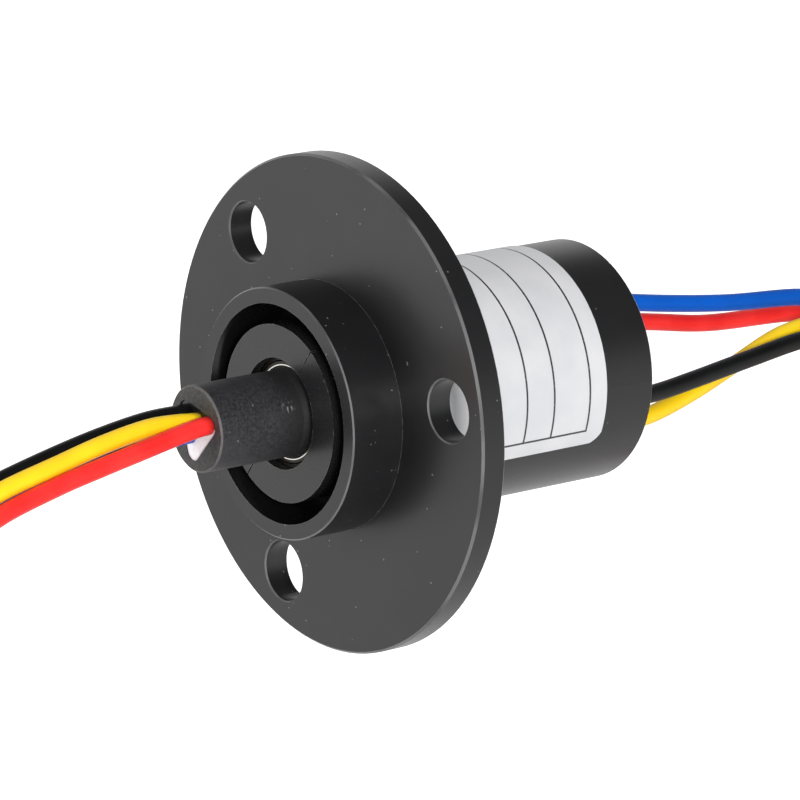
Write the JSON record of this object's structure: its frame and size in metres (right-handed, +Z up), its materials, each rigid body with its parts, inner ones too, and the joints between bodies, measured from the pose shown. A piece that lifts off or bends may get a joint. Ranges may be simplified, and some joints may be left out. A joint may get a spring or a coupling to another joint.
{
  "type": "slip ring",
  "caption": "Flanged capsule slip ring: a grooved-ring rotor on ball bearings in a round housing, with a stub shaft and coloured leads at each end.",
  "frame": {"origin": "centre of the flange's front face, on the axis of rotation", "axes": "-Y along the axis of rotation towards the rotor stub, +Y towards the rear leads, +Z up, +X to the side of the flange hole nearest the horizontal"},
  "size_m": [0.0446, 0.1452, 0.0814],
  "materials": {
    "housing_metal": "dark grey anodised, satin",
    "cap_plastic": "dark grey, matt",
    "carrier_plastic": "dark grey glass-filled, satin",
    "label_film": "silver-white polyester film, satin",
    "shaft_plastic": "dark grey glass-filled, matt, worn at its edges",
    "clip_steel": "blackened spring steel",
    "potting_white": "white epoxy potting",
    "potting_black": "black epoxy potting",
    "lead_bundle": "mixed insulation colours",
    "board_laminate": "green solder mask",
    "brush_gold": "gold alloy wire",
    "tinned_copper": "tinned copper",
    "bearing_steel": "ground bearing steel",
    "ball_steel": "polished bearing steel",
    "cage_brass": "stamped brass",
    "shield_steel": "pressed steel",
    "ring_gold": "gold plated, turned",
    "barrier_plastic": "dark moulded insulator",
    "lead_black": "soft insulation",
    "lead_yellow": "soft insulation",
    "lead_red": "soft insulation",
    "lead_blue": "soft insulation",
    "tie_nylon": "black nylon"
  },
  "bodies": {
    "stator": {"housing": "housing_metal", "rear_cap": "cap_plastic", "carrier_half_upper": "carrier_plastic", "carrier_half_lower": "carrier_plastic", "label": "label_film", "front_bearing_outer_ring": "bearing_steel", "front_bearing_shields": "shield_steel", "rear_bearing_outer_ring": "bearing_steel", "rear_bearing_shields": "shield_steel", "brush_board_upper": "board_laminate", "brush_board_lower": "board_laminate", "brush_wires_upper": "brush_gold", "brush_wires_lower": "brush_gold", "stator_inner_leads": "tinned_copper", "stator_potting_upper": "potting_black", "stator_potting_lower": "potting_black", "stator_lead_blue": "lead_blue", "stator_lead_red": "lead_red", "stator_lead_black": "lead_black", "stator_lead_yellow": "lead_yellow", "stator_lead_hank": "lead_bundle", "stator_hank_tie": "tie_nylon"},
    "rotor": {"rotor_shaft": "shaft_plastic", "shaft_circlip": "clip_steel", "rotor_potting": "potting_white", "rotor_inner_leads": "lead_bundle", "front_bearing_inner_ring": "bearing_steel", "rear_bearing_inner_ring": "bearing_steel", "slip_ring_1": "ring_gold", "slip_ring_2": "ring_gold", "slip_ring_3": "ring_gold", "slip_ring_4": "ring_gold", "ring_barrier_1": "barrier_plastic", "ring_barrier_2": "barrier_plastic", "ring_barrier_3": "barrier_plastic", "ring_barrier_4": "barrier_plastic", "ring_barrier_5": "barrier_plastic", "rotor_lead_black": "lead_black", "rotor_lead_yellow": "lead_yellow", "rotor_lead_red": "lead_red", "rotor_lead_blue": "lead_blue", "rotor_lead_hank": "lead_bundle", "rotor_hank_tie": "tie_nylon"},
    "front_ball_set": {"front_bearing_balls": "ball_steel", "front_bearing_cage": "cage_brass"},
    "rear_ball_set": {"rear_bearing_balls": "ball_steel", "rear_bearing_cage": "cage_brass"}
  },
  "joints": [
    {"name": "rotor_spin", "type": "hinge", "parent": "stator", "child": "rotor", "pos_m": [0, 0, 0], "axis": [0, 1, 0], "continuous": true},
    {"name": "front_cage_spin", "type": "hinge", "parent": "stator", "child": "front_ball_set", "pos_m": [0, -0.00235, 0], "axis": [0, 1, 0], "continuous": true},
    {"name": "rear_cage_spin", "type": "hinge", "parent": "stator", "child": "rear_ball_set", "pos_m": [0, 0.02405, 0], "axis": [0, 1, 0], "continuous": true}
  ],
  "couplings": [
    {"joint": "front_cage_spin", "follows": "rotor_spin", "ratio": 0.44},
    {"joint": "rear_cage_spin", "follows": "rotor_spin", "ratio": 0.44}
  ]
}
